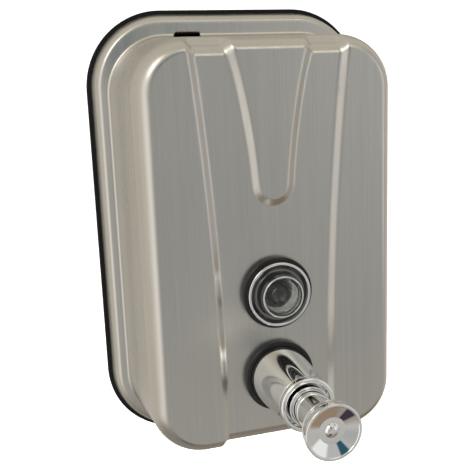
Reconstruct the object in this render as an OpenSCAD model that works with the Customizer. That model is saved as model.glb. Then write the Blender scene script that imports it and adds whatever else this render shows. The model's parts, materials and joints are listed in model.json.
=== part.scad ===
// Wall mounted soap dispenser with a keyed, hinged steel cover, a reservoir and a push pump.
// The wall is the plane y = 0 and the dispenser stands out of it towards -Y. Distances "off the
// wall" are positive. The origin is the centre of the wall plate's back face. Units: millimetres.

/* [Wall plate] */
// Width of the wall plate
plate_w = 122; // [120:1:126]
// Height of the wall plate
plate_h = 185; // [183:1:190]
// Corner radius of the wall plate
plate_r = 32; // [30:1:34]
// Thickness of the wall plate
plate_t = 2; // [1.8:0.1:2]
// Distance between the wall screw holes, across
screw_span_x = 76; // [70:1:80]
// Distance between the wall screw holes, up and down
screw_span_z = 130; // [124:1:136]
// Diameter of the wall screw holes
screw_hole_d = 5; // [4:0.5:5.5]

/* [Steel cover] */
// How far the front face stands off the wall
cover_depth = 57; // [56.5:0.1:58]
// Thickness of the cover's sheet
sheet_t = 1; // [0.8:0.1:1]
// How far the wide rear skirt reaches off the wall
skirt_depth = 10; // [9.5:0.1:10]
// Width of the cover's body where it leaves the skirt
body_w = 105.5; // [105:0.5:107]
// Height of the cover's body where it leaves the skirt
body_h = 164.4; // [164:0.2:166]
// Corner radius of the cover's body
body_r = 23; // [22:0.5:25]
// Height of the body's middle above the plate's middle
body_rise = -1.1; // [-1.4:0.1:-0.9]
// How much the body narrows on each side on its way to the front edge
body_draft = 2.4; // [2:0.1:2.4]
// Depth of the rounded front edge
edge_depth = 11.3; // [10:0.1:11.5]
// Width of the rounded front edge
edge_width = 6; // [5:0.1:6]
// Depth of the pressed channels beside the tongue
press_depth = 1.8; // [1.2:0.1:1.8]

/* [Reservoir] */
// Width of the reservoir
tank_w = 92; // [86:1:92]
// Height of the reservoir
tank_h = 141; // [139:1:141]
// Wall thickness of the reservoir
tank_t = 1.6; // [1.2:0.1:1.8]
// Diameter of the filling hole
filler_d = 25; // [20:1:26]

/* [Sight glass and pump] */
// Height of the sight glass
sight_z = -17.7; // [-18:0.1:-16]
// Height of the pump
pump_z = -51.5; // [-53:0.1:-51]
// Radius of the rings that stand on the cover
ring_r = 14; // [13:0.5:14.5]
// How far the button stands off the wall
button_reach = 109; // [108.5:0.1:111]
// Radius of the button's head
button_r = 10; // [9:0.5:10.5]
// How far the button travels
button_travel = 12; // [8:1:12]
// Turns of the pump's return spring
pump_turns = 12; // [8:1:14]

/* [Hinge and latch] */
// Radius of the hinge rod
hinge_rod_r = 1.5; // [1.2:0.1:1.5]
// How far the latch bolt is pushed down by the key
latch_travel = 2.5; // [1.5:0.1:2.5]
// Distance of the key slot to the left of the middle
key_x = -19.5; // [-21:0.5:-18]

/* [Hidden] */
$fn = 96;

fit_gap = 0.05;
seal_gap = 0.1;
hole_gap = 0.2;
body_gap = 0.3;
over = 1;
front_rest = cover_depth - press_depth;
edge_start = cover_depth - edge_depth;
tank_front = front_rest - sheet_t;
tank_rear = 12;
tank_back_t = 1.6;
tank_r = 15;
tank_edge_r = 5;
tank_z = -5.5;
tank_rim_t = 2;
tank_rim_w = 1.4;
rim_out = tank_t + seal_gap;
rim_in = rim_out + tank_rim_w;
inner_start = skirt_depth - sheet_t - over;

press_draw = 1.9;
skirt_rear_inset = 1.7;
skirt_front_inset = 3.8;
shoulder_inset = 8.3;
shoulder_rise = 1.2;
skirt_start = plate_t + body_gap;

rib_inset = 5.2;
rib_t = 2;
rib_reach = 5;
boss_r = 6;
boss_reach = 3;

hinge_off = 8.2;
hinge_z = -93.6;
knuckle_r = 3;
ear_in = 20;
ear_out = 28;
ear_root = 20;
ear_arm = 5.2;
leaf_in = 6;
leaf_t = 1.2;
leaf_top = -83.4;
rod_head_r = 2.4;
rod_head_t = 1.2;

channel_x = 22.3;
channel_z = -60;
channel_arc_r = 1213;
tongue_x = 6.2;
tongue_z = 5;
tongue_arc_r = 270;
tongue_end_z = 24.2;
tongue_end_r = 6.85;
panel_x = 40;

slot_w = 11;
slot_off = 13;
slot_d = 3;
slot_h = 12;

bracket_floor_z = 69;
bracket_t = 1.5;
bracket_w = 12;
bracket_flange_w = 23;
bracket_flange_t = 1.6;
bracket_flange_low = 66;
bracket_flange_high = 79;
bracket_off = 16.5;
bracket_top = 77.5;
latch_screw_x = 9;
latch_screw_z = 73.5;
latch_screw_r = 1.3;
screw_head_r = 2.4;
screw_head_t = 1.4;
drive_l = 3.2;
drive_w = 0.7;
bolt_off = 11.5;
bolt_stem_r = 1.5;
bolt_pad_low = 76.2;
bolt_pad_high = 78.8;
bolt_pad_start = 8.3;
bolt_web = 14.7;
bolt_web_t = 1.3;
nose_t = 1.1;
nose_w = 5;
nose_hook = 1.8;
nose_low = bracket_floor_z + bracket_t + latch_travel + body_gap;
nose_high = nose_low + nose_hook;
nose_end = 20;
latch_spring_r = 2.2;
latch_wire_r = 0.3;
latch_turns = 4;
catch_off = 17.2;
catch_t = 1;
catch_low = 75.6;
catch_end = 24;
catch_w = 9;

gasket_t = 2.8;
gasket_edge_r = 1.4;
rim_r = 12.5;
rim_reach = 60.2;
rim_edge_r = 0.9;
rim_dish = 1.2;
collar_base_r = 8.5;
collar_r = 8;
collar_reach = 64;
collar_edge_r = 0.3;
sight_shank_r = 10;
sight_bore_r = 7.4;
lens_reach = 63;
lens_t = 2;
lens_wall_t = 0.8;
lens_start = 46;
shank_start = 46;
nut_start = 46.5;
seal_t = 1;
seal_r = 13;
pump_shank_r = 9;
sleeve_bore_r = 8;
sleeve_base = front_rest + gasket_t;
sleeve_base_r = 12.2;
sleeve_front_r = 9.9;
sleeve_end = 87;
lip_start = 84;
lip_r = 10.2;
lip_edge_r = 0.8;
mouth_edge_r = 0.4;
mouth_r = 8.4;
mouth_start = 82.8;
nut_r = 14;

head_t = 6.2;
head_band = 1.8;
head_back = button_reach - head_t;
flare_l = 2.5;
head_back_r = button_r - 1;
head_widest = button_reach - head_band;
head_edge_r = 1;
dish_rim = 0.2;
dish_r = button_r - head_edge_r - dish_rim;
dish_depth = 2;
nub_r = 2.1;
nub_h = 1;

cyl_r = sleeve_bore_r;
cyl_bore_r = 6.9;
cyl_start = 22;
cyl_rear_t = 2;
cyl_end = 74.6;
bush_start = 75;
bush_step = 82.6;
bush_clear = 0.4;
bush_end = head_back - flare_l - button_travel - bush_clear;
bush_nose_r = 7.5;
neck_r = 6.8;
neck_start = 74.5;
piston_start = 67.5;
piston_r = 6.85;
port_clear = 5.5;
port_off = piston_start - button_travel - port_clear;
port_r = 1.4;
port_h = 4;
groove_w = 3;
groove_d = 0.6;
chamber_port_r = 1.2;
ring_start = piston_start + 2.2;
ring_w = 1.6;
ring_groove_d = 1;
ring_squeeze = 0.02;
outlet_off = 71;
outlet_r = 2.2;
outlet_drop = 11.6;
outlet_h = outlet_drop - cyl_r - hole_gap;
outlet_bore_r = 1.1;
inlet_off = 27.5;
inlet_r = 4.2;
inlet_bore_r = 2.9;
inlet_drop = 19;
seat_bore_r = 1.2;
seat_cone_h = 0.8;
ball_r = 2;
ball_lift = 1.5;
ball_room = 1.5;
ball_drop = cyl_r + ball_r + ball_lift + ball_room;
ball_sink = 0.9;
seat_top = ball_drop + ball_sink;
spring_r = 5.1;
spring_wire_r = 0.4;

neck_tube_r = 15;
neck_tube_reach = 4;
filler_x = 12;
filler_z = 36;
cap_r = 18;
filler_seal_t = 0.7;
cap_top = 4.2;
cap_disc_t = 1.4;
cap_skirt_end = 9.6;
lug_reach = 1.4;
lug_start = 7.95;
lug_t = 0.9;
lug_angle = 40;
lip_arc = 60;
cap_lip_start = 9.05;
grip_r = 1;
cap_bar = [22, 1.2, 3];
grip_count = 24;

// Inset of the cover's body from its widest outline, at a distance off the wall along the rounded edge
function edge_inset(a) = body_draft + edge_width * (1 - cos(a));
function edge_off(a) = edge_start + edge_depth * sin(a);
// Height of the cover's inner top face in a pressed channel, at a distance off the wall
function top_inner(off) =
    body_rise + body_h / 2 - sheet_t
    - (body_draft + press_draw) * (off - inner_start)
    / (edge_start - press_depth - sheet_t - inner_start);

// Outline of the cover's skirt and its sloping shoulder: pairs of inset and distance off the wall
function skirt_outline(rear, t) = [
    [skirt_rear_inset + t, rear],
    [skirt_front_inset + t, skirt_depth - shoulder_rise - t],
    [shoulder_inset + t, skirt_depth - t]
];
// Outline of the cover's body: pairs of inset and distance off the wall, moved inwards by the sheet
function body_outline(rear, t) = concat(
    [[t, rear]],
    [for (a = [0:15:90]) [edge_inset(a) + t, edge_off(a) - t]]
);
// The same in the pressed channels, which also draw the rounded edge inwards
function press_outline(rear, t) = concat(
    [[t, rear]],
    [for (a = [0:15:90]) [edge_inset(a) + press_draw + t, edge_off(a) - press_depth - t]]
);

module rounded(w, h, r) {
    square([w - 2 * r, h], center = true);
    square([w, h - 2 * r], center = true);
    for (x = [-1, 1], z = [-1, 1]) {
        translate([x * (w / 2 - r), z * (h / 2 - r)]) circle(r);
    }
}

// Extrudes a flat outline, drawn as x and z, away from the wall
module outwards(start, length) {
    translate([0, -start, 0]) rotate([90, 0, 0]) linear_extrude(length) children();
}

// Turns a profile of radius and distance off the wall about an axis that leaves the wall
module turned(x, z) {
    translate([x, 0, z]) rotate([90, 0, 0]) rotate_extrude() children();
}

module ring(r_in, r_out, start, length) {
    outwards(start, length) difference() {
        circle(r_out);
        circle(r_in);
    }
}

// Extrudes an outline, drawn as y and z, along x
module across(from, to) {
    translate([from, 0, 0]) rotate([90, 0, 90]) linear_extrude(to - from) children();
}

// A block with rounded corners whose outline narrows: p holds pairs of inset and distance off the wall
module tapered_block(w, h, r, p) {
    first = p[0][1];
    last = p[len(p) - 1][1];
    right = [for (q = p) [w / 2 - q[0], -q[1]]];
    left = [for (i = [len(p) - 1:-1:0]) [-right[i][0], right[i][1]]];
    tall = [for (q = p) [-q[1], h / 2 - q[0]]];
    low = [for (q = p) [-q[1], -h / 2 + q[0]]];
    translate([0, 0, -h / 2 + r]) linear_extrude(h - 2 * r) polygon(concat(right, left));
    across(-w / 2 + r, w / 2 - r) {
        polygon(concat(tall, [[-last, h / 2 - r], [-first, h / 2 - r]]));
        polygon(concat(low, [[-last, -h / 2 + r], [-first, -h / 2 + r]]));
    }
    corner = concat([[0, first]], [for (q = p) [r - q[0], q[1]]], [[0, last]]);
    for (x = [-1, 1], z = [-1, 1]) {
        turn = x > 0 ? (z > 0 ? 0 : 270) : (z > 0 ? 90 : 180);
        translate([x * (w / 2 - r), 0, z * (h / 2 - r)])
            rotate([90, 0, 0]) rotate_extrude(angle = 90, start = turn) polygon(corner);
    }
}

module spring(r, wire_r, length, turns) {
    sides = 8;
    steps = 12;
    rings = turns * steps;
    points = [
        for (i = [0:rings], s = [0:sides - 1])
            let (
                a = 360 * i / steps,
                b = 360 * s / sides,
                rr = r + wire_r * cos(b)
            )
            [rr * cos(a), rr * sin(a), wire_r + (length - 2 * wire_r) * i / rings + wire_r * sin(b)]
    ];
    faces = concat(
        [[for (s = [0:sides - 1]) s]],
        [for (i = [0:rings - 1], s = [0:sides - 1]) let (n = (s + 1) % sides)
            [i * sides + s, (i + 1) * sides + s, (i + 1) * sides + n, i * sides + n]],
        [[for (s = [sides - 1:-1:0]) rings * sides + s]]
    );
    polyhedron(points, faces);
}

module wall_screw_places() {
    for (x = [-1, 1], z = [-1, 1]) {
        translate([x * screw_span_x / 2, z * screw_span_z / 2]) children();
    }
}

module wall_plate() color("#17181a") difference() {
    union() {
        outwards(0, plate_t) union() {
            rounded(plate_w, plate_h, plate_r);
            for (x = [-ear_out, ear_in]) {
                translate([x, hinge_z - knuckle_r]) square([ear_out - ear_in, ear_root]);
            }
        }
        outwards(plate_t, rib_reach - plate_t) difference() {
            rounded(plate_w - 2 * rib_inset, plate_h - 2 * rib_inset, plate_r - rib_inset);
            rounded(
                plate_w - 2 * (rib_inset + rib_t), plate_h - 2 * (rib_inset + rib_t),
                plate_r - rib_inset - rib_t
            );
        }
        outwards(plate_t, boss_reach - plate_t) wall_screw_places() circle(boss_r);
        for (x = [-ear_out, ear_in]) {
            across(x, x + ear_out - ear_in) {
                translate([-hinge_off, hinge_z]) circle(knuckle_r);
                translate([-hinge_off, hinge_z - knuckle_r])
                    square([hinge_off - plate_t, ear_arm]);
            }
        }
    }
    outwards(-over, boss_reach + 2 * over) wall_screw_places() circle(d = screw_hole_d);
    outwards(-over, plate_t + 2 * over) latch_screw_places() circle(latch_screw_r);
    translate([-ear_out - over, -hinge_off, hinge_z])
        rotate([0, 90, 0]) cylinder(h = 2 * (ear_out + over), r = hinge_rod_r);
}

module hinge_rod() color("#b9bcc0") translate([0, -hinge_off, hinge_z]) rotate([0, 90, 0]) {
    cylinder(h = 2 * ear_out, r = hinge_rod_r, center = true);
    for (x = [-1, 1]) {
        translate([0, 0, x * (ear_out + rod_head_t / 2)])
            cylinder(h = rod_head_t, r = rod_head_r, center = true);
    }
}

module latch_screw_places() {
    for (x = [-1, 1]) {
        translate([key_x + x * latch_screw_x, latch_screw_z]) children();
    }
}

module latch_bracket() color("#2a2c2f") difference() {
    union() {
        outwards(plate_t, bracket_flange_t)
            translate([key_x - bracket_flange_w / 2, bracket_flange_low])
            square([bracket_flange_w, bracket_flange_high - bracket_flange_low]);
        translate([key_x - bracket_w / 2, -bracket_off, bracket_floor_z])
            cube([bracket_w, bracket_off - plate_t, bracket_t]);
        for (x = [key_x - bracket_w / 2, key_x + bracket_w / 2 - bracket_t]) {
            translate([x, -bracket_off, bracket_floor_z])
                cube([bracket_t, bracket_off - plate_t, bracket_top - bracket_floor_z]);
        }
    }
    outwards(plate_t - over, bracket_flange_t + 2 * over)
        latch_screw_places() circle(latch_screw_r + hole_gap);
    translate([key_x, -bolt_off, bracket_floor_z - over])
        cylinder(h = bracket_t + 2 * over, r = bolt_stem_r + fit_gap);
}

module latch_screws() color("#c2c5c9") {
    outwards(body_gap, plate_t + bracket_flange_t - body_gap)
        latch_screw_places() circle(latch_screw_r);
    difference() {
        outwards(plate_t + bracket_flange_t, screw_head_t)
            latch_screw_places() circle(screw_head_r);
        outwards(plate_t + bracket_flange_t + screw_head_t / 2, screw_head_t) latch_screw_places() {
            square([drive_l, drive_w], center = true);
            square([drive_w, drive_l], center = true);
        }
    }
}

module latch_bolt() color("#d9dadb") {
    translate([key_x, -bolt_off, bracket_floor_z - body_gap])
        cylinder(h = bolt_pad_low - bracket_floor_z + body_gap, r = bolt_stem_r);
    pad_w = bracket_w - 2 * bracket_t - 2 * body_gap;
    translate([key_x - pad_w / 2, -bolt_web - bolt_web_t, bolt_pad_low])
        cube([pad_w, bolt_web + bolt_web_t - bolt_pad_start, bolt_pad_high - bolt_pad_low]);
    across(key_x - nose_w / 2, key_x + nose_w / 2) {
        translate([-bolt_web - bolt_web_t, nose_low]) square([bolt_web_t, bolt_pad_low - nose_low]);
        translate([-nose_end, nose_low]) square([nose_end - bolt_web, nose_t]);
        translate([-nose_end, nose_low]) square([nose_t, nose_high - nose_low]);
    }
}

module latch_spring() color("#a7aaad")
    translate([key_x, -bolt_off, bracket_floor_z + bracket_t])
    spring(latch_spring_r, latch_wire_r, bolt_pad_low - bracket_floor_z - bracket_t, latch_turns);

// The pressed channels: everything between the two side panels, less the tongue
module channels(grow) {
    difference() {
        square([2 * panel_x, 2 * plate_h], center = true);
        for (x = [-1, 1]) {
            translate([x * (channel_x + grow + channel_arc_r), channel_z])
                circle(channel_arc_r, $fn = 720);
        }
        tongue(grow);
    }
}

module tongue(shrink) {
    difference() {
        translate([-panel_x / 2, tongue_end_z]) square([panel_x, plate_h]);
        for (x = [-1, 1]) {
            translate([x * (tongue_x - shrink + tongue_arc_r), tongue_z])
                circle(tongue_arc_r, $fn = 720);
        }
    }
    translate([0, tongue_end_z]) circle(tongue_end_r - shrink);
}

// The cover's body moved inwards by the sheet: its outer face at 0, the hollow inside it at sheet_t
module body_skin(rear, t) {
    translate([0, 0, body_rise]) difference() {
        tapered_block(body_w, body_h, body_r, body_outline(rear, t));
        difference() {
            outwards(rear - over, cover_depth) translate([0, -body_rise]) channels(t);
            tapered_block(body_w, body_h, body_r, press_outline(rear, t));
            outwards(rear - over, over) square([body_w, body_h], center = true);
        }
    }
}

module front_shell() color("#9b9a94") difference() {
    union() {
        tapered_block(plate_w, plate_h, plate_r, skirt_outline(skirt_start, 0));
        body_skin(skirt_depth, 0);
    }
    tapered_block(plate_w, plate_h, plate_r, skirt_outline(skirt_start - over, sheet_t));
    body_skin(inner_start, sheet_t);
    translate([key_x - slot_w / 2, -slot_off - slot_d / 2, (body_h - slot_h) / 2])
        cube([slot_w, slot_d, slot_h]);
    outwards(tank_front - over, press_depth + sheet_t + 2 * over) {
        translate([0, sight_z]) circle(sight_shank_r + hole_gap);
        translate([0, pump_z]) circle(pump_shank_r + hole_gap);
    }
}

module hinge_leaf() color("#a9a8a2") {
    for (x = [-ear_in + body_gap, leaf_in]) {
        across(x, x + ear_in - body_gap - leaf_in) difference() {
            union() {
                translate([-hinge_off, hinge_z]) circle(knuckle_r);
                translate([-hinge_off - knuckle_r, hinge_z]) square([leaf_t, knuckle_r]);
            }
            translate([-hinge_off, hinge_z]) circle(hinge_rod_r + fit_gap);
        }
    }
    translate([-ear_in + body_gap, -hinge_off - knuckle_r, hinge_z])
        cube([2 * (ear_in - body_gap), leaf_t, leaf_top - hinge_z]);
}

module latch_catch() color("#a9a8a2") across(key_x - catch_w / 2, key_x + catch_w / 2) {
    polygon([
        [-catch_off, top_inner(catch_off)],
        [-catch_end, top_inner(catch_end)],
        [-catch_end, top_inner(catch_end) - catch_t],
        [-catch_off - catch_t, top_inner(catch_off + catch_t) - catch_t],
        [-catch_off - catch_t, catch_low],
        [-catch_off, catch_low]
    ]);
}

// Outline of the reservoir, moved inwards by its wall
function tank_outline(rear, t) = concat(
    [[t, rear]],
    [for (a = [0:15:90]) [
        tank_edge_r - (tank_edge_r - t) * cos(a),
        tank_front - tank_edge_r + (tank_edge_r - t) * sin(a)
    ]]
);

module tank_body() color("#e8e8e2", 0.8) translate([0, 0, tank_z]) difference() {
    tapered_block(tank_w, tank_h, tank_r, tank_outline(tank_rear, 0));
    tapered_block(tank_w, tank_h, tank_r, tank_outline(tank_rear - over, tank_t));
    outwards(tank_rear, tank_front) {
        translate([0, sight_z - tank_z]) circle(sight_shank_r + hole_gap);
        translate([0, pump_z - tank_z]) circle(pump_shank_r + hole_gap);
    }
}

module tank_back() color("#e8e8e2") {
    outwards(tank_rear - tank_back_t, tank_back_t) difference() {
        translate([0, tank_z]) rounded(tank_w, tank_h, tank_r);
        translate([filler_x, filler_z]) circle(d = filler_d);
    }
    outwards(tank_rear, tank_rim_t) translate([0, tank_z]) difference() {
        rounded(tank_w - 2 * rim_out, tank_h - 2 * rim_out, tank_r - rim_out);
        rounded(tank_w - 2 * rim_in, tank_h - 2 * rim_in, tank_r - rim_in);
    }
    neck_top = tank_rear - tank_back_t - neck_tube_reach;
    translate([filler_x, 0, filler_z]) {
        ring(filler_d / 2, neck_tube_r, neck_top, neck_tube_reach);
        for (a = [0, 180]) {
            translate([0, -lug_start, 0]) rotate([90, 0, 0])
                rotate_extrude(angle = lug_angle, start = a - lug_angle / 2)
                translate([neck_tube_r, 0]) square([lug_reach, lug_t]);
        }
    }
}

module filler_cap() color("#26282b") translate([filler_x, 0, filler_z]) {
    outwards(cap_top, cap_disc_t) circle(cap_r);
    difference() {
        ring(neck_tube_r + fit_gap, cap_r, cap_top + cap_disc_t, cap_skirt_end - cap_top - cap_disc_t);
        outwards(lug_start - body_gap, cap_skirt_end) circle(neck_tube_r + lug_reach + body_gap);
        outwards(cap_top, cap_skirt_end) {
            for (i = [0:grip_count - 1]) {
                rotate(i * 360 / grip_count) translate([cap_r + grip_r / 3, 0]) circle(grip_r);
            }
        }
    }
    for (a = [0, 180]) {
        translate([0, -cap_lip_start, 0]) rotate([90, 0, 0])
            rotate_extrude(angle = lip_arc, start = a - lip_arc / 2)
            translate([neck_tube_r + body_gap, 0])
            square([cap_r - grip_r - neck_tube_r - body_gap, cap_skirt_end - cap_lip_start]);
    }
    translate([-cap_bar[0] / 2, -cap_top, -cap_bar[2] / 2]) cube(cap_bar);
}

module filler_seal() color("#d8d4c8") translate([filler_x, 0, filler_z])
    ring(filler_d / 2, neck_tube_r, cap_top + cap_disc_t, filler_seal_t);

// A soft ring with a rounded front edge that seats a fitting on the pressed face
module seat_ring(bore_r, z) {
    turned(0, z) polygon(concat(
        [[bore_r, front_rest], [ring_r, front_rest]],
        [for (a = [0:18:90]) [
            ring_r - gasket_edge_r * (1 - cos(a)),
            front_rest + gasket_t - gasket_edge_r * (1 - sin(a))
        ]],
        [[bore_r, front_rest + gasket_t]]
    ));
}

module sight_gasket() color("#141414") seat_ring(sight_shank_r + seal_gap, sight_z);

module sight_bezel() color("#c9ccd0") {
    base = front_rest + gasket_t;
    turned(0, sight_z) polygon(concat(
        [[sight_bore_r, shank_start], [sight_shank_r, shank_start], [sight_shank_r, base]],
        [[rim_r, base]],
        [for (a = [0:15:90]) [
            rim_r - rim_edge_r * (1 - cos(a)),
            rim_reach - rim_edge_r * (1 - sin(a))
        ]],
        [[collar_base_r, rim_reach - rim_dish]],
        [for (a = [0:30:90]) [
            collar_r - collar_edge_r * (1 - cos(a)),
            collar_reach - collar_edge_r * (1 - sin(a))
        ]],
        [[sight_bore_r, collar_reach]]
    ));
}

module sight_lens() color("#cfd8d6", 0.5) turned(0, sight_z) polygon([
    [sight_bore_r - lens_wall_t, lens_start], [sight_bore_r, lens_start],
    [sight_bore_r, lens_reach], [0, lens_reach],
    [0, lens_reach - lens_t], [sight_bore_r - lens_wall_t, lens_reach - lens_t]
]);

module sight_seal() color("#d8d4c8") translate([0, 0, sight_z])
    ring(sight_shank_r + seal_gap, seal_r, tank_front - tank_t - seal_t, seal_t);

module hex_nut(bore_r, z) {
    translate([0, 0, z]) outwards(nut_start, tank_front - tank_t - seal_t - nut_start) difference() {
        circle(nut_r, $fn = 6);
        circle(bore_r);
    }
}

module sight_nut() color("#e2e2dc") hex_nut(sight_shank_r, sight_z);

module pump_gasket() color("#0f0f10") seat_ring(pump_shank_r + seal_gap, pump_z);

module pump_sleeve() color("#c9ccd0") difference() {
    turned(0, pump_z) polygon(concat(
        [[sleeve_bore_r, shank_start], [pump_shank_r, shank_start], [pump_shank_r, sleeve_base]],
        [[sleeve_base_r, sleeve_base], [sleeve_front_r, lip_start - lip_edge_r]],
        [for (a = [-60:30:0]) [lip_r - lip_edge_r * (1 - cos(a)), lip_start + lip_edge_r * (1 + sin(a))]],
        [for (a = [0:15:90]) [lip_r - lip_edge_r * (1 - cos(a)), sleeve_end - lip_edge_r * (1 - sin(a))]],
        [for (a = [0:30:90]) [
            mouth_r + mouth_edge_r * (1 - sin(a)),
            sleeve_end - mouth_edge_r * (1 - cos(a))
        ]],
        [[mouth_r, mouth_start], [sleeve_bore_r, mouth_start]]
    ));
    translate([0, -outlet_off, pump_z - sleeve_base_r - over]) cylinder(h = sleeve_base_r, r = outlet_r);
}

module pump_seal() color("#d8d4c8") translate([0, 0, pump_z])
    ring(pump_shank_r + seal_gap, seal_r, tank_front - tank_t - seal_t, seal_t);

module pump_nut() color("#e2e2dc") hex_nut(pump_shank_r, pump_z);

module pump_cylinder() color("#dcdcd6") difference() {
    union() {
        turned(0, pump_z) polygon([
            [0, cyl_start], [cyl_r, cyl_start], [cyl_r, cyl_end],
            [cyl_bore_r, cyl_end], [cyl_bore_r, cyl_start + cyl_rear_t], [0, cyl_start + cyl_rear_t]
        ]);
        translate([0, -inlet_off, pump_z - inlet_drop])
            cylinder(h = inlet_drop - cyl_bore_r - body_gap, r = inlet_r);
    }
    translate([0, -inlet_off, pump_z - inlet_drop - over])
        cylinder(h = inlet_drop + over - cyl_r, r = inlet_bore_r);
    translate([0, -inlet_off, pump_z - cyl_r - over]) cylinder(h = port_h, r = chamber_port_r);
    translate([0, -port_off, pump_z - cyl_r - over]) cylinder(h = port_h, r = port_r);
    translate([-groove_w / 2, -cyl_end - over, pump_z - cyl_r - over])
        cube([groove_w, cyl_end + over - port_off, over + groove_d]);
}

module guide_bush() color("#c9ccd0") turned(0, pump_z) polygon([
    [neck_r + fit_gap, bush_start], [sleeve_bore_r, bush_start], [sleeve_bore_r, bush_step],
    [bush_nose_r, bush_step], [bush_nose_r, bush_end], [neck_r + fit_gap, bush_end]
]);

module outlet_nozzle() color("#1c1c1e")
    translate([0, -outlet_off, pump_z - outlet_drop]) difference() {
        cylinder(h = outlet_h, r = outlet_r);
        translate([0, 0, -over]) cylinder(h = outlet_h + 2 * over, r = outlet_bore_r);
    }

module inlet_seat() color("#e2e2dc") translate([0, -inlet_off, pump_z - inlet_drop]) difference() {
    seat_h = inlet_drop - seat_top;
    cylinder(h = seat_h, r = inlet_bore_r);
    translate([0, 0, -over]) cylinder(h = seat_h + 2 * over, r = seat_bore_r);
    translate([0, 0, seat_h - seat_cone_h])
        cylinder(h = 2 * seat_cone_h, r1 = seat_bore_r, r2 = seat_bore_r + 2 * seat_cone_h);
}

module inlet_ball() color("#c4c7cb")
    translate([0, -inlet_off, pump_z - ball_drop]) sphere(ball_r);

module push_button() color("#c9ccd0") turned(0, pump_z) polygon(concat(
    [[0, neck_start], [neck_r, neck_start]],
    [for (a = [0:15:90]) [
        neck_r + (head_back_r - neck_r) * (1 - cos(a)),
        head_back - flare_l * (1 - sin(a))
    ]],
    [[button_r, head_widest]],
    [for (a = [0:15:90]) [
        button_r - head_edge_r * (1 - cos(a)),
        button_reach - head_edge_r * (1 - sin(a))
    ]],
    [for (q = [1:-0.15:0.4]) [
        dish_r * q,
        button_reach - dish_depth * (1 - q * q)
    ]],
    [for (a = [0:15:90]) [nub_r * cos(a), button_reach - dish_depth + nub_h * sin(a)]]
));

module piston() color("#dcdcd6") turned(0, pump_z) polygon([
    [0, piston_start], [piston_r, piston_start], [piston_r, ring_start],
    [piston_r - ring_groove_d, ring_start], [piston_r - ring_groove_d, ring_start + ring_w],
    [piston_r, ring_start + ring_w], [piston_r, neck_start], [0, neck_start]
]);

module piston_ring() color("#1c1c1e") translate([0, 0, pump_z])
    ring(piston_r - ring_groove_d, piston_r + ring_squeeze, ring_start, ring_w);

module return_spring() color("#a7aaad")
    translate([0, -cyl_start - cyl_rear_t, pump_z]) rotate([90, 0, 0])
    spring(spring_r, spring_wire_r, piston_start - cyl_start - cyl_rear_t, pump_turns);

wall_plate();
hinge_rod();
latch_bracket();
latch_screws();
latch_bolt();
latch_spring();
front_shell();
hinge_leaf();
latch_catch();
tank_body();
tank_back();
filler_cap();
filler_seal();
sight_gasket();
sight_bezel();
sight_lens();
sight_seal();
sight_nut();
pump_gasket();
pump_sleeve();
pump_seal();
pump_nut();
pump_cylinder();
guide_bush();
outlet_nozzle();
inlet_seat();
inlet_ball();
push_button();
piston();
piston_ring();
return_spring();
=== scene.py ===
import json
import math

import bmesh
import bpy
from mathutils import Matrix, Vector


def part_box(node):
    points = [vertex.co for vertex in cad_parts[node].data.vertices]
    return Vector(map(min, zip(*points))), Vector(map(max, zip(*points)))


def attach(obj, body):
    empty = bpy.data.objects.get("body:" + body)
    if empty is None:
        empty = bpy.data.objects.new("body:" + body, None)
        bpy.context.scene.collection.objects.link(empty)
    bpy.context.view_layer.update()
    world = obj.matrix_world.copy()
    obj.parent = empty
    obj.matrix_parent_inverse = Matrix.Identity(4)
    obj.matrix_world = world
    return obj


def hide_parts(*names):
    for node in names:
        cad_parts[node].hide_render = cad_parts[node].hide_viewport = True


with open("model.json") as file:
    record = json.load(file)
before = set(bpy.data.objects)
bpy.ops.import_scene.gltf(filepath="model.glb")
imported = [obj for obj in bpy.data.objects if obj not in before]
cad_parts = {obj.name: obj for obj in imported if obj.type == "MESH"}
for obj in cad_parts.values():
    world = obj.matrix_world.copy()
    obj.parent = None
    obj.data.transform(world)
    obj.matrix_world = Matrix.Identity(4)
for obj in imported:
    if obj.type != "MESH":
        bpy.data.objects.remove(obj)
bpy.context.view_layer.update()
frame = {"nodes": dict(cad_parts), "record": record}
MM = 0.001
# A noise texture's values lie mostly between these two.
NOISE_SPAN = (0.3, 0.7)


# ---------------------------------------------------------------- sizes from the frame, in millimetres
def box_mm(node):
    low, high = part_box(node)
    return [v / MM for v in low], [v / MM for v in high]


def axis_of(node):
    """x and z of the axis of a turned part that leaves the wall."""
    low, high = box_mm(node)
    return (low[0] + high[0]) / 2, (low[2] + high[2]) / 2


def reach(node):
    """The least and the greatest distance of a node off the wall."""
    low, high = box_mm(node)
    return -high[1], -low[1]


plate_low, plate_high = box_mm("wall_plate")
shell_low, shell_high = box_mm("front_shell")
SKIRT_REAR, FRONT = reach("front_shell")
SIGHT = axis_of("sight_bezel")
PUMP = axis_of("pump_sleeve")
PRESS = FRONT - reach("sight_gasket")[0]
PRESSED = FRONT - PRESS


# ---------------------------------------------------------------- node helpers for the materials
def material(name):
    mat = bpy.data.materials.new(name)
    mat.use_nodes = True
    nodes = mat.node_tree.nodes
    nodes.clear()
    out = nodes.new("ShaderNodeOutputMaterial")
    shader = nodes.new("ShaderNodeBsdfPrincipled")
    mat.node_tree.links.new(shader.outputs["BSDF"], out.inputs["Surface"])
    return mat, shader


def link(mat, a, b):
    mat.node_tree.links.new(a, b)


def stretched(mat, scale):
    """The object's own coordinates, in metres, times a scale along each axis."""
    nodes = mat.node_tree.nodes
    coord = nodes.new("ShaderNodeTexCoord")
    mapping = nodes.new("ShaderNodeMapping")
    mapping.inputs["Scale"].default_value = scale
    link(mat, coord.outputs["Object"], mapping.inputs["Vector"])
    return mapping.outputs["Vector"]


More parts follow.
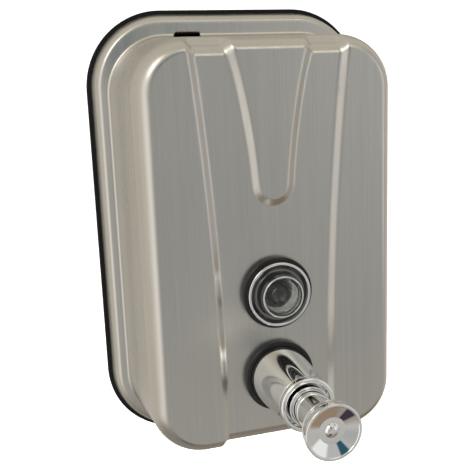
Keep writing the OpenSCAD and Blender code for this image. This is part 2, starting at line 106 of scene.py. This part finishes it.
def noise(mat, scale, detail=3.0, rough=0.55):
    tex = mat.node_tree.nodes.new("ShaderNodeTexNoise")
    tex.inputs["Scale"].default_value = 1.0
    tex.inputs["Detail"].default_value = detail
    tex.inputs["Roughness"].default_value = rough
    link(mat, stretched(mat, scale), tex.inputs["Vector"])
    return tex.outputs["Fac"]


def ramp(mat, fac, stops):
    """Colours along a value, from stops of (place, colour)."""
    node = mat.node_tree.nodes.new("ShaderNodeValToRGB")
    elements = node.color_ramp.elements
    while len(elements) < len(stops):
        elements.new(0.5)
    for element, (at, colour) in zip(elements, stops):
        element.position = at
        element.color = (*colour, 1.0)
    link(mat, fac, node.inputs["Fac"])
    return node.outputs["Color"]


def spread(mat, fac, low, high):
    """A noise texture's value, spread over the numbers from low to high."""
    node = mat.node_tree.nodes.new("ShaderNodeMapRange")
    node.inputs["From Min"].default_value = NOISE_SPAN[0]
    node.inputs["From Max"].default_value = NOISE_SPAN[1]
    node.inputs["To Min"].default_value = low
    node.inputs["To Max"].default_value = high
    link(mat, fac, node.inputs["Value"])
    return node.outputs["Result"]


def bump(mat, shader, heights):
    """Stacks bumps, each given as (height, strength, distance in metres), on the shader's normal."""
    last = None
    for height, strength, distance in heights:
        node = mat.node_tree.nodes.new("ShaderNodeBump")
        node.inputs["Strength"].default_value = strength
        node.inputs["Distance"].default_value = distance
        link(mat, height, node.inputs["Height"])
        if last:
            link(mat, last, node.inputs["Normal"])
        last = node.outputs["Normal"]
    link(mat, last, shader.inputs["Normal"])


def tinted(colour, factor):
    return tuple(min(1.0, c * factor) for c in colour)


def mottled(mat, fac, colour, dark, pale):
    """A colour that varies with a noise texture between a darker and a paler tint of itself."""
    low, high = NOISE_SPAN
    return ramp(mat, fac, [(low, tinted(colour, dark)), (high, tinted(colour, pale))])


def brushed_steel(name, colour, low, high, across, along):
    """Steel with fine brush lines along z, soft cloudy patches and a few faint rubbed spots."""
    mat, shader = material(name)
    lines = noise(mat, (across, across, along), detail=6.0, rough=0.7)
    broad = noise(mat, (across / 12, across / 12, along / 3), detail=2.0)
    clouds = noise(mat, (22, 22, 16), detail=3.0)
    mix = mat.node_tree.nodes.new("ShaderNodeMix")
    mix.data_type = "RGBA"
    mix.blend_type = "MULTIPLY"
    mix.inputs["Factor"].default_value = 1.0
    soft = ramp(mat, clouds, [(0.3, (0.95, 0.95, 0.95)), (0.7, (1.0, 1.0, 0.99))])
    link(mat, mottled(mat, lines, colour, 0.94, 1.05), mix.inputs["A"])
    link(mat, soft, mix.inputs["B"])
    link(mat, mix.outputs["Result"], shader.inputs["Base Color"])
    shader.inputs["Metallic"].default_value = 1.0
    shader.inputs["Anisotropic"].default_value = 0.35
    link(mat, spread(mat, broad, low, high), shader.inputs["Roughness"])
    bump(mat, shader, [(lines, 0.12, 0.00004), (clouds, 0.1, 0.0006)])
    return mat


def chrome(name, colour, low, high):
    """Mirror plating with faint smears and a very slight waviness."""
    mat, shader = material(name)
    smears = noise(mat, (60, 60, 45), detail=4.0)
    grain = noise(mat, (900, 900, 900), detail=2.0)
    link(mat, mottled(mat, smears, colour, 0.95, 1.03), shader.inputs["Base Color"])
    shader.inputs["Metallic"].default_value = 1.0
    link(mat, spread(mat, smears, low, high), shader.inputs["Roughness"])
    bump(mat, shader, [(smears, 0.05, 0.0004), (grain, 0.04, 0.00003)])
    return mat


def moulded(name, colour, low, high, grain_scale=700, depth=0.00006, worn=1.25, shine=0.5, sss=0.0):
    """Moulded plastic or rubber: fine grain, dull and shiny patches, and lighter scuffs."""
    mat, shader = material(name)
    grain = noise(mat, (grain_scale,) * 3, detail=3.0)
    patches = noise(mat, (55, 55, 55), detail=4.0)
    tone = ramp(mat, patches, [
        (0.3, tinted(colour, 0.86)), (0.62, colour), (0.78, tinted(colour, worn))
    ])
    link(mat, tone, shader.inputs["Base Color"])
    link(mat, spread(mat, patches, low, high), shader.inputs["Roughness"])
    shader.inputs["Specular IOR Level"].default_value = shine
    shader.inputs["Subsurface Weight"].default_value = sss
    if sss:
        shader.inputs["Subsurface Scale"].default_value = 0.002
    bump(mat, shader, [(grain, 0.25, depth)])
    return mat


def clear(name, tint):
    """Clear plastic with a slight tint and faint smears."""
    mat, shader = material(name)
    smears = noise(mat, (140, 140, 140), detail=3.0)
    link(mat, mottled(mat, smears, tint, 0.96, 1.0), shader.inputs["Base Color"])
    shader.inputs["Transmission Weight"].default_value = 1.0
    shader.inputs["IOR"].default_value = 1.49
    link(mat, spread(mat, smears, 0.0, 0.05), shader.inputs["Roughness"])
    bump(mat, shader, [(smears, 0.04, 0.0002)])
    return mat


COVER = brushed_steel("cover_steel", (0.60, 0.585, 0.55), 0.25, 0.34, 1500, 18)
STEEL = brushed_steel("plain_steel", (0.56, 0.555, 0.55), 0.3, 0.42, 900, 300)
SPRING = brushed_steel("spring_steel", (0.5, 0.5, 0.5), 0.22, 0.34, 1200, 1200)
CHROME = chrome("chrome_plate", (0.86, 0.86, 0.86), 0.025, 0.07)
# Chrome darkened to a base colour of 0.2: painted dark reflection and shade for the sight bezel's
# recessed ring.
PAINTED_DARK_REFLECTION = chrome("painted_dark_reflection_plate", (0.20, 0.20, 0.20), 0.06, 0.14)
BLACK = moulded("black_plastic", (0.008, 0.008, 0.009), 0.5, 0.68, shine=0.12)
RUBBER = moulded("black_rubber", (0.009, 0.009, 0.010), 0.12, 0.24, 500, 0.00004, shine=0.3)
WHITE = moulded("white_plastic", (0.78, 0.78, 0.75), 0.32, 0.48, worn=1.05)
TANK = moulded("tank_plastic", (0.80, 0.80, 0.75), 0.34, 0.5, worn=1.04, sss=0.25)
SILICONE = moulded("pale_rubber", (0.55, 0.53, 0.47), 0.5, 0.65, worn=1.06)
LENS = clear("clear_lens", (0.93, 0.96, 0.95))
MILKY = moulded("milky_lens_wall", (0.82, 0.82, 0.80), 0.22, 0.36, worn=1.1)


# ---------------------------------------------------------------- mesh helpers
def piece(name, verts, faces, mat, body, nodes):
    """A smooth mesh from points in millimetres, which stands for CAD nodes."""
    mesh = bpy.data.meshes.new(name)
    mesh.from_pydata([Vector(v) * MM for v in verts], [], faces)
    mesh.update()
    obj = bpy.data.objects.new(name, mesh)
    bpy.context.scene.collection.objects.link(obj)
    bm = bmesh.new()
    bm.from_mesh(mesh)
    bmesh.ops.remove_doubles(bm, verts=bm.verts, dist=1e-6)
    bmesh.ops.dissolve_degenerate(bm, edges=bm.edges, dist=1e-7)
    bmesh.ops.recalc_face_normals(bm, faces=bm.faces)
    for face in bm.faces:
        face.smooth = True
    bm.to_mesh(mesh)
    bm.free()
    mesh.materials.append(mat)
    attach(obj, body)
    if nodes:
        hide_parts(*nodes)
    return obj


def rounded_path(corners, steps=7):
    """A path of (radius, distance off the wall) whose corners are rounded: a third number is the
    rounding of that corner."""
    path = []
    for i, corner in enumerate(corners):
        here = Vector(corner[:2])
        size = corner[2] if len(corner) > 2 else 0
        if size == 0 or i in (0, len(corners) - 1):
            path.append(tuple(here))
            continue
        before = Vector(corners[i - 1][:2]) - here
        after = Vector(corners[i + 1][:2]) - here
        turn = before.angle(after)
        cut = min(size / math.tan(turn / 2), before.length * 0.49, after.length * 0.49)
        a = here + before.normalized() * cut
        b = here + after.normalized() * cut
        for k in range(steps + 1):
            t = k / steps
            path.append(tuple(a * (1 - t) ** 2 + here * 2 * t * (1 - t) + b * t * t))
    return path


def lathe(name, path, axis, mat, body, nodes, segments=160):
    """Turns a closed path of (radius, distance off the wall) about an axis that leaves the wall."""
    cx, cz = axis
    verts, faces = [], []
    count = len(path)
    for s in range(segments):
        a = 2 * math.pi * s / segments
        for r, d in path:
            verts.append((cx + r * math.cos(a), -d, cz + r * math.sin(a)))
    for s in range(segments):
        n = (s + 1) % segments
        for k in range(count):
            m = (k + 1) % count
            if path[k][0] < 1e-9 and path[m][0] < 1e-9:
                continue
            faces.append((s * count + k, s * count + m, n * count + m, n * count + k))
    return piece(name, verts, faces, mat, body, nodes)


# ---------------------------------------------------------------- the pressed steel cover
# The skirt follows the wall plate's outline, inset at its rear rim. It leans in a little up to RIM_END
# off the wall, and then curves over to the shoulder.
PLATE_W = plate_high[0] - plate_low[0]
SKIRT_REAR_INSET = (PLATE_W - (shell_high[0] - shell_low[0])) / 2
PLATE_H = shell_high[2] - shell_low[2] + 2 * SKIRT_REAR_INSET
PLATE_R = 32.0
RIM_END = 5.0
RIM_LEAN = 0.8
SKIRT_DEPTH = 10.0
SHOULDER_BEND = (3.4, 9.2)
SHOULDER_START = (5.2, 9.6)
# The body's width, height, corner radius and middle height where it leaves the shoulder, the radius of
# the hollow corner there, how far it narrows towards the front, and its rounded front edge.
BODY = (105.5, 164.4, 23.0, -1.1)
HOLLOW_R = 1.4
DRAFT = 2.4
EDGE_DEPTH = 11.3
EDGE_WIDTH = 6.0
EDGE_START = FRONT - EDGE_DEPTH
# The pressed channels. The side panels' inner edges and the tongue's sides are parabolas in z, each
# with its least half width, the height of that place and its curve. The tongue has a round tip.
PANEL = (24.0, -60.0, 2426.0)
TONGUE = (4.5, 5.0, 540.0)
TIP_Z = 24.2
TIP_R = 5.15
SLOPE = 3.6
DRAW_IN = 1.9
# Radii of the holes in the front for the two shanks
COVER_HOLES = ((SIGHT, 10.4), (PUMP, 9.4))

# Steps along the top, the sides and each corner, up the wall, round the front edge and over the front
TOP_N, SIDE_N, CORNER_N = 100, 190, 34
WALL_N, EDGE_N, FRONT_N = 20, 32, 75
# The key slot's ends across, and its near and far side off the wall
SLOT_X = (-25.0, -14.0)
SLOT_D = (SKIRT_DEPTH, 14.5)


def smooth_step(t):
    t = max(0.0, min(1.0, t))
    return t * t * (3 - 2 * t)


def ramp_step(t, soft=0.2):
    """A straight slope from 0 to 1 with rounded ends."""
    t = max(0.0, min(1.0, t))
    if t > 0.5:
        return 1 - ramp_step(1 - t, soft)
    if t < soft:
        return t * t / (2 * soft) / (1 - soft)
    return (t - soft / 2) / (1 - soft)


def press(x, z):
    """Depth of the pressed channels, from 0 on the side panels and the tongue to 1 between them."""
    near, middle, curve = PANEL
    side = near + (z - middle) ** 2 / curve - abs(x)
    if z < TIP_Z:
        tongue = math.hypot(x, z - TIP_Z) - TIP_R
    else:
        near, middle, curve = TONGUE
        tongue = abs(x) - near - (z - middle) ** 2 / curve
    return ramp_step(side / SLOPE) * ramp_step(tongue / SLOPE)


def outline(w, h, r, zc):
    """A rounded rectangle as points with their outward normals, anticlockwise from the top right."""
    r = min(max(r, 1.2), w / 2)
    x0, z0 = w / 2 - r, h / 2 - r
    points = []
    for side in range(4):
        sx = (1, -1, -1, 1)[side]
        sz = (1, 1, -1, -1)[side]
        start = side * math.pi / 2
        for k in range(CORNER_N):
            a = start + math.pi / 2 * k / CORNER_N
            c, s = math.cos(a), math.sin(a)
            points.append((sx * x0 + r * c, zc + sz * z0 + r * s, c, s))
        a = start + math.pi / 2
        c, s = math.cos(a), math.sin(a)
        nx = (-1, -1, 1, 1)[side]
        nz = (1, -1, -1, 1)[side]
        n = TOP_N if side % 2 == 0 else SIDE_N
        bx, bz = sx * x0 + r * c, zc + sz * z0 + r * s
        ex, ez = nx * x0 + r * c, zc + nz * z0 + r * s
        for k in range(n):
            t = k / n
            points.append((bx + (ex - bx) * t, bz + (ez - bz) * t, c, s))
    return points


def between(a, b, t):
    return tuple(p + (q - p) * t for p, q in zip(a, b))


def skirt(inset):
    return (PLATE_W - 2 * inset, PLATE_H - 2 * inset, PLATE_R - inset, 0.0)


def body(inset):
    return (BODY[0] - 2 * inset, BODY[1] - 2 * inset, BODY[2] - inset, BODY[3])


def cover_rows():
    """Rows of the cover's skin from its rear rim to the middle of the front: each is an outline, a
    distance off the wall and the tilt of the surface there (0 on a wall, 90 on the front)."""
    rows = []
    for k in range(5):
        t = k / 4
        inset = SKIRT_REAR_INSET + RIM_LEAN * t
        rows.append((skirt(inset), SKIRT_REAR + (RIM_END - SKIRT_REAR) * t, 0))
    start, end = (SKIRT_REAR_INSET + RIM_LEAN, RIM_END), SHOULDER_START
    for k in range(1, 17):
        t = k / 16
        inset, d = (
            p * (1 - t) ** 2 + 2 * q * t * (1 - t) + r * t * t
            for p, q, r in zip(start, SHOULDER_BEND, end)
        )
        rows.append((skirt(inset), d, 0))
    outer = skirt(end[0])
    inner = body(-HOLLOW_R)
    for k in range(1, 5):
        t = k / 4
        rows.append((between(outer, inner, t), end[1] + (SKIRT_DEPTH - end[1]) * t, 0))
    for k in range(1, 7):
        a = math.radians(15 * k)
        inset = -HOLLOW_R * (1 - math.sin(a))
        rows.append((body(inset), SKIRT_DEPTH + HOLLOW_R * (1 - math.cos(a)), 0))
    stops = [SLOT_D[1] - 3.0 + 0.75 * k for k in range(5)]
    stops += [SLOT_D[1] + (EDGE_START - SLOT_D[1]) * k / WALL_N for k in range(1, WALL_N)]
    for d in stops:
        rows.append((body(DRAFT * (d - SKIRT_DEPTH) / (EDGE_START - SKIRT_DEPTH)), d, 0))
    for k in range(EDGE_N + 1):
        a = math.pi / 2 * k / EDGE_N
        rows.append((
            body(DRAFT + EDGE_WIDTH * (1 - math.cos(a))),
            EDGE_START + EDGE_DEPTH * math.sin(a),
            math.degrees(math.atan2(EDGE_WIDTH * math.sin(a), EDGE_DEPTH * math.cos(a))),
        ))
    first = DRAFT + EDGE_WIDTH
    last = BODY[0] / 2
    for k in range(1, FRONT_N + 1):
        rows.append((body(first + (last - first) * k / FRONT_N), FRONT, 90))
    return rows


def cover_point(p, d, tilt, inset):
    """Moves a point of the skin back and inwards where the channels are pressed in. The channels
    fade out in the rounded edge at the top and run on down the wall at the bottom."""
    x, z, nx, nz = p
    if d <= SKIRT_DEPTH + HOLLOW_R:
        return (x, -d, z)
    if z < 0:
        keep = smooth_step((d - 22) / 20)
        back = smooth_step((tilt - 4) / 40)
    else:
        keep = smooth_step((tilt - 1) / 24)
        back = keep
    depth = press(x, z)
    draw = DRAW_IN * depth * keep * abs(nz)
    if tilt >= 89.9:
        draw *= 1 - smooth_step((inset - DRAFT - EDGE_WIDTH) / 9)
    return (x, -d + PRESS * depth * back, z - nz * draw)


def snap_to_slot(points):
    """Moves the two points of the top edge that are nearest to the slot's ends onto them, and
    returns their places in the list."""
    snapped = []
    for end in SLOT_X:
        near = min(range(CORNER_N, CORNER_N + TOP_N), key=lambda k: abs(points[k][0] - end))
        points[near] = (end, *points[near][1:])
        snapped.append(near)
    return sorted(snapped)


def open_front(verts, faces):
    """Drops the front's faces inside the shanks' holes and pulls what is left there out to the rim."""
    front = -PRESSED + 1
    kept = []
    for face in faces:
        inside = False
        for (cx, cz), r in COVER_HOLES:
            near = all(math.hypot(verts[v][0] - cx, verts[v][2] - cz) < r for v in face)
            inside = inside or (near and verts[face[0]][1] < front)
        if not inside:
            kept.append(face)
    for (cx, cz), r in COVER_HOLES:
        for v in {v for face in kept for v in face}:
            x, y, z = verts[v]
            gap = math.hypot(x - cx, z - cz)
            if 0.1 < gap < r and y < front:
                verts[v] = (cx + (x - cx) * r / gap, y, cz + (z - cz) * r / gap)
    return kept


def steel_cover():
    rows = cover_rows()
    verts, slot_ends = [], []
    slot_rows = [i for i, row in enumerate(rows) if SLOT_D[0] - 0.01 <= row[1] <= SLOT_D[1] + 0.01]
    for i, (shape, d, tilt) in enumerate(rows):
        points = outline(*shape)
        if i in slot_rows:
            slot_ends = snap_to_slot(points)
        inset = (BODY[0] - shape[0]) / 2
        verts += [cover_point(p, d, tilt, inset) for p in points]
    count = 2 * (TOP_N + SIDE_N) + 4 * CORNER_N
    faces = []
    for i in range(len(rows) - 1):
        in_slot = i in slot_rows and i + 1 in slot_rows
        for k in range(count):
            if in_slot and slot_ends[0] <= k < slot_ends[1]:
                continue
            n = (k + 1) % count
            faces.append((i * count + k, (i + 1) * count + k, (i + 1) * count + n, i * count + n))
    kept = open_front(verts, faces)
    obj = piece("steel_cover", verts, kept, COVER, "cover", ["front_shell"])
    flip_out(obj)
    sheet = obj.modifiers.new("sheet", "SOLIDIFY")
    sheet.thickness = 1.0 * MM
    sheet.offset = -1.0


def flip_out(obj):
    """Turns an open skin's faces so that its front looks away from the wall."""
    mesh = obj.data
    face = max(mesh.polygons, key=lambda f: (-f.center.y, f.area))
    if face.normal.y > 0:
        bm = bmesh.new()
        bm.from_mesh(mesh)
        bmesh.ops.reverse_faces(bm, faces=bm.faces)
        bm.to_mesh(mesh)
        bm.free()


steel_cover()

# ---------------------------------------------------------------- sight glass
def seat_ring(name, axis, node, bore):
    """A rubber ring with a rounded outer edge, in the place of a flat gasket."""
    low, high = reach(node)
    lathe(name, rounded_path([
        (bore, low), (14.0, low, 0.15), (14.0, high, 1.5), (12.3, high, 0.4),
        (12.0, high - 0.25, 0.2), (bore, high - 0.25)
    ], 9), axis, RUBBER, "cover", [node])


seat_ring("sight_gasket_ring", SIGHT, "sight_gasket", 10.1)
gasket_high = reach("sight_gasket")[1]
bezel_low, bezel_high = reach("sight_bezel")
lens_low, lens_high = reach("sight_lens")
rim = gasket_high + 2.2
RECESS = (8.25, 11.3)
LENS_DISC_T = 2.0
bezel = lathe("sight_bezel_ring", rounded_path([
    (7.42, bezel_low), (10.0, bezel_low, 0.3), (10.0, gasket_high, 0.05), (12.5, gasket_high, 0.3),
    (12.45, rim, 0.8), (11.6, rim - 0.1, 0.5), (10.1, rim - 1.3, 1.0), (9.1, rim - 1.3, 0.5),
    (8.3, rim + 1.4, 0.7), (8.0, bezel_high, 0.25), (7.5, bezel_high, 0.15), (7.42, bezel_high - 0.8)
], 9), SIGHT, CHROME, "cover", ["sight_bezel"])
# The bezel's recessed ring between rim and collar gets the darkened chrome, a painted dark reflection
# and shade.
bezel.data.materials.append(PAINTED_DARK_REFLECTION)
for face in bezel.data.polygons:
    place = face.center / MM
    radius = math.hypot(place.x - SIGHT[0], place.z - SIGHT[1])
    if RECESS[0] < radius < RECESS[1] and -place.y > rim - 1.5:
        face.material_index = 1
lens = lathe("sight_lens_cup", rounded_path([
    (6.6, lens_low), (7.38, lens_low, 0.1), (7.38, lens_high, 0.35), (0, lens_high - 0.05),
    (0, lens_high - LENS_DISC_T), (6.6, lens_high - LENS_DISC_T, 0.2)
], 6), SIGHT, LENS, "cover", ["sight_lens"])
lens.data.materials.append(MILKY)
for face in lens.data.polygons:
    behind_disc = -face.center.y / MM < lens_high - LENS_DISC_T - 0.1
    if behind_disc and face.normal.y < 0.7:
        face.material_index = 1

# ---------------------------------------------------------------- push pump
pad_high = reach("pump_gasket")[1]
sleeve_low, sleeve_high = reach("pump_sleeve")
neck_low, button_high = reach("push_button")
HEAD_R = (box_mm("push_button")[1][0] - box_mm("push_button")[0][0]) / 2
seat_ring("pump_gasket_ring", PUMP, "pump_gasket", 9.1)
lathe("push_button_head", rounded_path([
    (0, neck_low), (6.8, neck_low, 0.2), (6.8, button_high - 7.6, 1.5),
    (8.9, button_high - 6.2, 0.5), (9.35, button_high - 5.5, 0.5), (9.2, button_high - 4.6, 0.5),
    (HEAD_R, button_high - 2.2, 0.8), (HEAD_R, button_high, 0.9), (9.15, button_high - 0.05, 0.35),
    (8.9, button_high - 0.3, 0.3), (4.7, button_high - 1.95, 1.0), (2.5, button_high - 2.05, 0.6),
    (1.9, button_high - 1.35, 0.7), (0.9, button_high - 1.0, 0.5), (0, button_high - 1.1)
], 10), PUMP, CHROME, "plunger", ["push_button"])


def pump_sleeve():
    """The sleeve with its rolled end, turned whole; drill_outlet then cuts the outlet hole in its
    underside.
    """
    path = rounded_path([
        (8.02, sleeve_low), (9.0, sleeve_low, 0.2), (9.0, pad_high, 0.05), (12.2, pad_high, 0.4),
        (9.95, sleeve_high - 3.1, 0.5), (9.55, sleeve_high - 2.75, 0.25),
        (10.2, sleeve_high - 2.6, 0.5), (10.2, sleeve_high, 1.0), (8.45, sleeve_high, 0.5),
        (8.4, sleeve_high - 4.2, 0.2), (8.02, sleeve_high - 4.2)
    ], 8)
    fine = []
    for (r0, d0), (r1, d1) in zip(path, path[1:] + path[:1]):
        n = max(1, int(math.hypot(r1 - r0, d1 - d0) / 1.2))
        fine += [(r0 + (r1 - r0) * k / n, d0 + (d1 - d0) * k / n) for k in range(n)]
    return lathe("pump_sleeve_tube", fine, PUMP, CHROME, "cover", ["pump_sleeve"], 192)


def drill_outlet(sleeve):
    """Cuts the round hole for the outlet nozzle through the sleeve's underside."""
    low, high = box_mm("outlet_nozzle")
    radius = (high[0] - low[0]) / 2 * MM
    middle = Vector((PUMP[0], (low[1] + high[1]) / 2, low[2] - 0.2 + 1.5)) * MM
    bm = bmesh.new()
    bmesh.ops.create_cone(
        bm, cap_ends=True, segments=48, depth=6.5 * MM, radius1=radius, radius2=radius,
        matrix=Matrix.Translation(middle),
    )
    mesh = bpy.data.meshes.new("outlet_drill")
    bm.to_mesh(mesh)
    bm.free()
    drill = bpy.data.objects.new("outlet_drill", mesh)
    bpy.context.scene.collection.objects.link(drill)
    cut = sleeve.modifiers.new("outlet", "BOOLEAN")
    cut.object = drill
    cut.operation = "DIFFERENCE"
    cut.solver = "EXACT"
    dg = bpy.context.evaluated_depsgraph_get()
    drilled = bpy.data.meshes.new_from_object(sleeve.evaluated_get(dg))
    sleeve.modifiers.clear()
    sleeve.data = drilled
    bpy.data.objects.remove(drill)


drill_outlet(pump_sleeve())

# ---------------------------------------------------------------- finishes of the pieces kept from CAD
FINISH = {
    "black_plastic": BLACK, "plain_steel": STEEL, "white_plastic": WHITE, "tank_plastic": TANK,
    "black_rubber": RUBBER, "pale_rubber": SILICONE, "chrome_plate": CHROME, "clear_lens": LENS,
    "cover_steel": COVER,
}
REPLACED = {
    "front_shell", "sight_gasket", "sight_bezel", "sight_lens", "pump_gasket", "pump_sleeve",
    "push_button",
}
# How far each piece's sharp edges are rounded; the small ones have 0.12
EDGE_MM = {
    "wall_plate": 0.5, "hinge_leaf": 0.25, "latch_bracket": 0.25, "tank_body": 0.6, "tank_back": 0.4,
    "filler_cap": 0.3, "pump_nut": 0.4, "sight_nut": 0.4, "hinge_rod": 0.3,
}
for part in frame["record"]["subparts"]:
    name = part["node"]
    if name in REPLACED:
        continue
    obj = frame["nodes"][name]
    mat = SPRING if name.endswith("spring") else FINISH[part["material_slot"]]
    obj.data.materials.clear()
    obj.data.materials.append(mat)
    if name.endswith("spring") or name == "inlet_ball":
        continue
    weld = obj.modifiers.new("weld", "WELD")
    weld.merge_threshold = 2e-6
    soft = obj.modifiers.new("soft_edges", "BEVEL")
    soft.width = EDGE_MM.get(name, 0.12) * MM
    soft.segments = 3
    soft.limit_method = "ANGLE"
    soft.angle_limit = math.radians(38)
    soft.harden_normals = True

# ---------------------------------------------------------------- floor, light and camera
FLOOR_Z = -0.42
FLOOR_HALF_W = 5.0
SWEEP_Y = 2.2


def pale_floor():
    """A floor that sweeps up into a wall behind, in metres."""
    rows = [(-3.0, FLOOR_Z), (-0.4, FLOOR_Z), (SWEEP_Y, FLOOR_Z)]
    for k in range(1, 17):
        a = math.pi / 2 * k / 16
        rows.append((SWEEP_Y + math.sin(a), FLOOR_Z + 1.0 - math.cos(a)))
    rows.append((SWEEP_Y + 1.0, 3.5))
    points, quads = [], []
    for y, z in rows:
        points += [(-FLOOR_HALF_W, y, z), (FLOOR_HALF_W, y, z)]
    for k in range(len(rows) - 1):
        quads.append((2 * k, 2 * k + 1, 2 * k + 3, 2 * k + 2))
    mesh = bpy.data.meshes.new("floor")
    mesh.from_pydata(points, [], quads)
    mesh.update()
    for face in mesh.polygons:
        face.use_smooth = True
    floor = bpy.data.objects.new("floor", mesh)
    bpy.context.scene.collection.objects.link(floor)
    pale, shader = material("pale_floor")
    fine = noise(pale, (4, 4, 4), detail=3.0)
    tone = ramp(pale, fine, [(NOISE_SPAN[0], (0.88,) * 3), (NOISE_SPAN[1], (0.92,) * 3)])
    link(pale, tone, shader.inputs["Base Color"])
    shader.inputs["Roughness"].default_value = 0.9
    mesh.materials.append(pale)
    floor.visible_glossy = False


pale_floor()


def soft_light(name, place, aim, width, height, power, colour):
    light = bpy.data.lights.new(name, "AREA")
    light.shape = "RECTANGLE"
    light.size = width
    light.size_y = height
    light.energy = power
    light.color = colour
    obj = bpy.data.objects.new(name, light)
    bpy.context.scene.collection.objects.link(obj)
    obj.location = place
    obj.rotation_euler = (Vector(aim) - Vector(place)).to_track_quat("-Z", "Y").to_euler()
    obj.visible_glossy = False


soft_light("left_window", (-1.5, -0.5, 0.5), (0, 0, 0), 1.0, 1.4, 22, (1.0, 0.98, 0.94))
soft_light("overhead", (0.1, -0.25, 1.5), (0, 0, 0), 1.2, 0.8, 16, (1.0, 0.95, 0.86))
soft_light("backdrop_wash", (0.3, 0.4, 2.4), (0.3, 3.0, 0.0), 2.5, 1.5, 90, (1.0, 1.0, 1.0))

world = bpy.data.worlds.new("studio")
bpy.context.scene.world = world
world.use_nodes = True
tree = world.node_tree
tree.nodes.clear()
coord = tree.nodes.new("ShaderNodeTexCoord")
split = tree.nodes.new("ShaderNodeSeparateXYZ")
tree.links.new(coord.outputs["Generated"], split.inputs["Vector"])


def band(axis, start, end):
    node = tree.nodes.new("ShaderNodeMapRange")
    node.interpolation_type = "SMOOTHSTEP"
    node.inputs["From Min"].default_value = start
    node.inputs["From Max"].default_value = end
    tree.links.new(split.outputs[axis], node.inputs["Value"])
    return node.outputs["Result"]


def layer(below, fac, colour):
    node = tree.nodes.new("ShaderNodeMix")
    node.data_type = "RGBA"
    tree.links.new(fac, node.inputs["Factor"])
    if isinstance(below, tuple):
        node.inputs["A"].default_value = (*below, 1)
    else:
        tree.links.new(below, node.inputs["A"])
    node.inputs["B"].default_value = (*colour, 1)
    return node.outputs["Result"]


def patch(centre, outer, inner):
    """1 within the inner angle of a direction, 0 beyond the outer one, in degrees."""
    dot = tree.nodes.new("ShaderNodeVectorMath")
    dot.operation = "DOT_PRODUCT"
    dot.inputs[1].default_value = Vector(centre).normalized()
    tree.links.new(coord.outputs["Generated"], dot.inputs[0])
    node = tree.nodes.new("ShaderNodeMapRange")
    node.interpolation_type = "SMOOTHSTEP"
    node.inputs["From Min"].default_value = math.cos(math.radians(outer))
    node.inputs["From Max"].default_value = math.cos(math.radians(inner))
    tree.links.new(dot.outputs["Value"], node.inputs["Value"])
    return node.outputs["Result"]


# The surroundings that the metal reflects: soft bands of tone, each over the ones before it, along a
# direction's own x, y or z from where it starts to where it is full.
sky = (0.445, 0.45, 0.44)
for axis, start, end, colour in (
    ("Z", -0.15, 0.15, (0.52, 0.52, 0.51)),
    ("Z", -0.28, -0.5, (0.54, 0.53, 0.50)),
    ("Z", 0.25, 0.7, (0.69, 0.64, 0.52)),
    ("X", 0.55, 0.9, (0.52, 0.49, 0.46)),
    ("X", -0.3, -0.95, (1.25, 1.2, 1.14)),
    ("Y", -0.4, 0.3, (0.72, 0.68, 0.60)),
    ("Y", 0.5, 0.9, (0.66, 0.61, 0.54)),
):
    sky = layer(sky, band(axis, start, end), colour)
sky = layer(sky, patch((0.27, 0.9, 0.33), 45, 18), (0.50, 0.47, 0.39))
sky = layer(sky, band("Z", -0.52, -0.76), (0.35, 0.32, 0.28))
# Soft patches, each with its direction and its outer and inner angle
for centre, outer, inner, colour in (
    ((0.76, -0.64, 0.02), 20, 12, (0.92, 0.92, 0.90)),
    ((0.33, -0.75, 0.58), 16, 8, (1.3, 1.28, 1.2)),
    ((0.0, -0.96, 0.27), 12, 9, (0.03, 0.10, 0.14)),
    ((0.52, -0.24, -0.82), 21, 14, (0.33, 0.24, 0.17)),
    ((-0.03, -0.54, -0.84), 11, 7, (0.06, 0.04, 0.06)),
    ((-0.60, -0.48, 0.64), 18, 8, (3.4, 3.3, 3.1)),
):
    sky = layer(sky, patch(centre, outer, inner), colour)
# Looked at directly, the surroundings are plain and pale.
seen = tree.nodes.new("ShaderNodeLightPath")
sky = layer(sky, seen.outputs["Is Camera Ray"], (0.90, 0.90, 0.89))
back = tree.nodes.new("ShaderNodeBackground")
back.inputs["Strength"].default_value = 1.0
tree.links.new(sky, back.inputs["Color"])
out = tree.nodes.new("ShaderNodeOutputWorld")
tree.links.new(back.outputs["Background"], out.inputs["Surface"])

scene = bpy.context.scene
scene.view_settings.view_transform = "Standard"
scene.view_settings.look = "None"
camera = bpy.data.cameras.new("camera")
camera.lens = 55.77
camera.sensor_width = 36.0
camera.clip_start = 0.01
camera.clip_end = 50
eye = bpy.data.objects.new("camera", camera)
scene.collection.objects.link(eye)
right = Vector((0.95718875, -0.28696523, -0.03795601))
up = Vector((0.09328081, 0.18166384, 0.97892642))
back_to = Vector((-0.27402261, -0.94055792, 0.20065493))
turn = Matrix((right, up, back_to)).transposed().to_4x4()
eye.matrix_world = Matrix.Translation(Vector((-0.09018, -0.31133, 0.06070))) @ turn
scene.camera = eye
